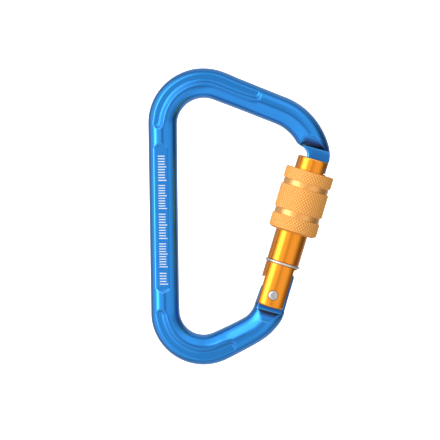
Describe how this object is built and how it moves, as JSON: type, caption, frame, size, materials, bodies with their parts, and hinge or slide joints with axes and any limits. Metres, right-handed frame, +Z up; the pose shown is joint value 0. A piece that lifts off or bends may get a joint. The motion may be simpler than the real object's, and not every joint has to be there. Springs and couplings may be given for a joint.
{
  "type": "screw-lock carabiner",
  "caption": "Asymmetric D-shaped metal connector with a forged bar, a sprung hinged gate and a knurled screw sleeve that locks the gate shut over the nose.",
  "frame": {"origin": "middle of the load line, halfway between the centres of the top and bottom rope-seat bends, on the bar's mid-plane", "axes": "+Z up along the load line, +X from the spine towards the gate, +Y through the bar, away from the viewer"},
  "size_m": [0.0662, 0.0176, 0.1061],
  "materials": {
    "blue_anodised": "bright blue anodised, glossy, over a forged surface",
    "orange_anodised": "bright orange anodised, turned",
    "orange_matte": "orange anodised over a diamond knurl, satin",
    "steel": "plain bright steel",
    "spring_steel": "drawn spring wire"
  },
  "bodies": {
    "frame": {"frame_body": "blue_anodised"},
    "gate": {"gate": "orange_anodised", "hinge_rivet": "steel", "gate_spring": "spring_steel"},
    "plunger": {"spring_plunger": "steel"},
    "ring": {"stop_ring": "spring_steel"},
    "sleeve": {"lock_sleeve": "orange_matte"}
  },
  "joints": [
    {"name": "gate_hinge", "type": "hinge", "parent": "frame", "child": "gate", "pos_m": [0.025, 0, -0.0275], "axis": [0, -1, 0], "range_deg": [0, 24], "stiffness_Nm_per_rad": 0.25, "springref_deg": -20.05},
    {"name": "plunger_slide", "type": "slide", "parent": "gate", "child": "plunger", "axis": [0.2887, 0, 0.9574], "range_m": [0, 0.0015], "deforming": ["gate_spring"]},
    {"name": "sleeve_screw", "type": "hinge", "parent": "gate", "child": "ring", "pos_m": [0.02839, 0, -0.01625], "axis": [0.2887, 0, 0.9574], "range_deg": [-1944, 1395]},
    {"name": "sleeve_travel", "type": "slide", "parent": "ring", "child": "sleeve", "axis": [0.2887, 0, 0.9574], "range_m": [-0.0108, 0.00775]}
  ],
  "couplings": [
    {"joint": "plunger_slide", "follows": "gate_hinge", "m_per_rad": 0.0035667},
    {"joint": "sleeve_travel", "follows": "sleeve_screw", "m_per_rad": 0.00031831}
  ]
}
